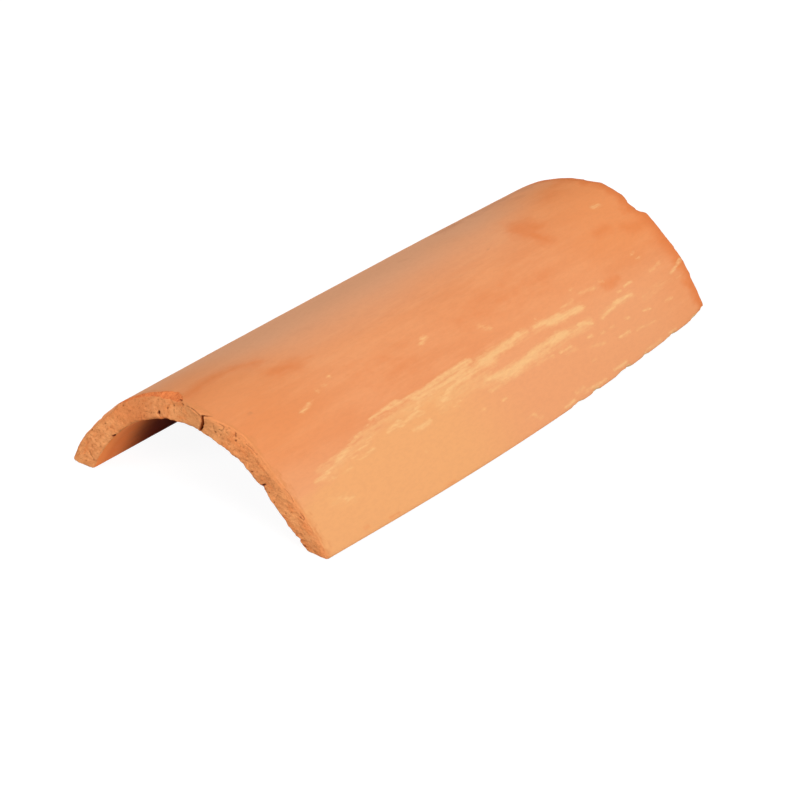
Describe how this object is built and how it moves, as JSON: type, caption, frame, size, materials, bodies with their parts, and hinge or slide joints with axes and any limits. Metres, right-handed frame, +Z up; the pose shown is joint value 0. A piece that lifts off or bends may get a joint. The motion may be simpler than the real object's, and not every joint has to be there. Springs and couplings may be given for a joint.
{
  "type": "clay roof tile",
  "caption": "Tapered barrel roof tile of unglazed fired clay, arched in section, that lies on its two long feet and laps over the tiles below it.",
  "frame": {"origin": "on the floor between the two feet, at the centre of the tile's box", "axes": "+Y along the tile from its wide end to its narrow end, +X across it, +Z up from the floor through the crest"},
  "size_m": [0.2008, 0.415, 0.0719],
  "materials": {
    "terracotta": "matt unglazed fired clay, salmon orange with cream streaks along the tile and broken, granular ends"
  },
  "bodies": {
    "root": {"clay_tile": "terracotta"}
  },
  "joints": []
}
